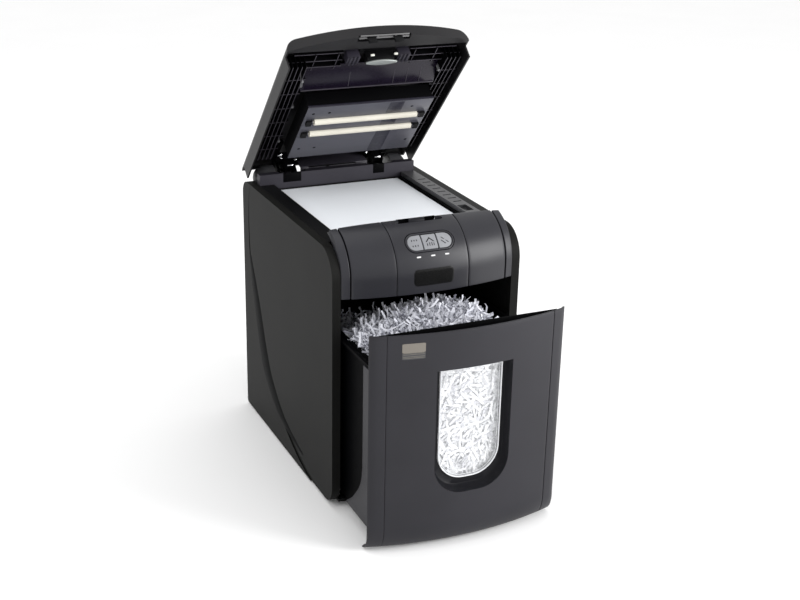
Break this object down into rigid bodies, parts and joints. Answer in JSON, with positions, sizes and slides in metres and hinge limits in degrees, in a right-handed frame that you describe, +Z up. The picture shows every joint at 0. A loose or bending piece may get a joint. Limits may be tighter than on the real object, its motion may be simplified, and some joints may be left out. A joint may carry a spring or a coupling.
{
  "type": "paper shredder",
  "caption": "Auto-feed desk-side paper shredder with a raised lid, a stack of sheets in its tray and a bowed windowed bin drawer pulled out.",
  "frame": {"origin": "on the floor under the middle of the cabinet, at the centre of its base", "axes": "+Z up, -Y towards the front with the control panel and the bin drawer, +X to the right for someone who faces the front"},
  "size_m": [0.3, 0.5797, 0.6854],
  "materials": {
    "case_plastic": "satin charcoal moulding",
    "black_plastic": "fine matt texture",
    "grey_plastic": "satin",
    "gloss_black": "smooth",
    "clear_key": "silvery translucent",
    "board": "printed circuit board",
    "gear_plastic": "natural acetal",
    "roller_cream": "satin cream",
    "steel": "brushed",
    "painted_steel": "grey satin paint",
    "rubber": "matt",
    "paper": "uncoated white",
    "clear_window": "clear",
    "blank_label": "printed label left blank"
  },
  "bodies": {
    "cabinet": {"side_panel_left": "case_plastic", "side_panel_right": "case_plastic", "corner_caps": "case_plastic", "base_plate": "black_plastic", "rear_cover": "black_plastic", "fascia": "case_plastic", "control_bezel": "gloss_black", "badge_plate": "gloss_black", "control_board": "board", "tray": "black_plastic", "rim_left": "black_plastic", "rim_right": "grey_plastic", "rear_deck": "grey_plastic", "hinge_domes": "grey_plastic", "hinge_blocks": "black_plastic", "hinge_pins": "steel", "cutter_plates": "steel", "tie_rods": "steel", "strippers": "black_plastic", "motor": "painted_steel", "power_board": "board", "mains_inlet": "gloss_black", "switch_housing": "black_plastic", "drawer_rails": "steel", "interlocks": "black_plastic", "feet": "rubber", "case_screws": "steel", "paper_stack": "paper", "feed_belts": "rubber"},
    "lid": {"lid_shell": "case_plastic", "lid_ribs": "black_plastic", "lid_hinge_arms": "steel", "latch_clips": "black_plastic"},
    "latch": {"lid_latch": "painted_steel"},
    "press_carrier": {"pressure_plate": "painted_steel", "roller_brackets": "black_plastic"},
    "press_roller_a": {"press_roller_front": "roller_cream"},
    "press_roller_b": {"press_roller_rear": "roller_cream"},
    "drawer": {"drawer_front": "case_plastic", "window_pocket": "black_plastic", "window": "clear_window", "label_plate": "blank_label", "bin_tub": "black_plastic", "shred_heap": "paper"},
    "cutter_front": {"cutter_a": "steel", "cutter_a_gear": "steel"},
    "cutter_rear": {"cutter_b": "steel", "cutter_b_gear": "steel"},
    "idler": {"idler_gear": "gear_plastic"},
    "pinion": {"motor_pinion": "steel"},
    "feed_front": {"feed_shaft_front": "steel", "feed_tyres_front": "rubber"},
    "feed_rear": {"feed_shaft_rear": "steel", "feed_tyres_rear": "rubber"},
    "key_left": {"button_left": "clear_key"},
    "key_middle": {"button_middle": "clear_key"},
    "key_right": {"button_right": "clear_key"},
    "mains_rocker": {"rocker": "black_plastic"}
  },
  "joints": [
    {"name": "lid_hinge", "type": "hinge", "parent": "cabinet", "child": "lid", "pos_m": [0, 0.183, 0.409], "axis": [-1, 0, 0], "range_deg": [-46.5, 12]},
    {"name": "latch_slide", "type": "slide", "parent": "lid", "child": "latch", "axis": [0, 0.6884, -0.7254], "range_m": [0, 0.004], "stiffness_N_per_m": 400},
    {"name": "press_carrier_slide", "type": "slide", "parent": "lid", "child": "press_carrier", "axis": [0, 0.7254, 0.6884], "range_m": [-0.006, 0.019]},
    {"name": "press_roller_a_spin", "type": "hinge", "parent": "press_carrier", "child": "press_roller_a", "pos_m": [0, 0.03419, 0.53385], "axis": [1, 0, 0], "continuous": true},
    {"name": "press_roller_b_spin", "type": "hinge", "parent": "press_carrier", "child": "press_roller_b", "pos_m": [0, 0.05622, 0.51064], "axis": [1, 0, 0], "continuous": true},
    {"name": "drawer_slide", "type": "slide", "parent": "cabinet", "child": "drawer", "axis": [0, -1, 0], "range_m": [-0.13, 0.06]},
    {"name": "cutter_rear_spin", "type": "hinge", "parent": "cabinet", "child": "cutter_rear", "pos_m": [0, 0.062, 0.335], "axis": [1, 0, 0], "continuous": true},
    {"name": "cutter_front_spin", "type": "hinge", "parent": "cabinet", "child": "cutter_front", "pos_m": [0, 0.022, 0.335], "axis": [1, 0, 0], "continuous": true},
    {"name": "idler_spin", "type": "hinge", "parent": "cabinet", "child": "idler", "pos_m": [0, 0.1, 0.335], "axis": [1, 0, 0], "continuous": true},
    {"name": "pinion_spin", "type": "hinge", "parent": "cabinet", "child": "pinion", "pos_m": [0, 0.13, 0.335], "axis": [1, 0, 0], "continuous": true},
    {"name": "feed_front_spin", "type": "hinge", "parent": "cabinet", "child": "feed_front", "pos_m": [0, -0.014, 0.3659], "axis": [1, 0, 0], "continuous": true},
    {"name": "feed_rear_spin", "type": "hinge", "parent": "cabinet", "child": "feed_rear", "pos_m": [0, 0.098, 0.3659], "axis": [1, 0, 0], "continuous": true},
    {"name": "key_left_press", "type": "slide", "parent": "cabinet", "child": "key_left", "axis": [0, 0.7193, -0.6947], "range_m": [0, 0.0012], "stiffness_N_per_m": 500},
    {"name": "key_middle_press", "type": "slide", "parent": "cabinet", "child": "key_middle", "axis": [0, 0.7193, -0.6947], "range_m": [0, 0.0012], "stiffness_N_per_m": 500},
    {"name": "key_right_press", "type": "slide", "parent": "cabinet", "child": "key_right", "axis": [0, 0.7193, -0.6947], "range_m": [0, 0.0012], "stiffness_N_per_m": 500},
    {"name": "mains_rocker_tilt", "type": "hinge", "parent": "cabinet", "child": "mains_rocker", "pos_m": [0.04, 0.187, 0.07], "axis": [1, 0, 0], "range_deg": [-7, 7]}
  ],
  "couplings": [
    {"joint": "cutter_front_spin", "follows": "cutter_rear_spin", "ratio": -1},
    {"joint": "idler_spin", "follows": "cutter_rear_spin", "ratio": -1.1111},
    {"joint": "pinion_spin", "follows": "cutter_rear_spin", "ratio": 1.6667},
    {"joint": "feed_front_spin", "follows": "cutter_rear_spin", "ratio": -1},
    {"joint": "feed_rear_spin", "follows": "cutter_rear_spin", "ratio": 1},
    {"joint": "press_carrier_slide", "follows": "lid_hinge", "m_per_rad": -0.022179}
  ]
}
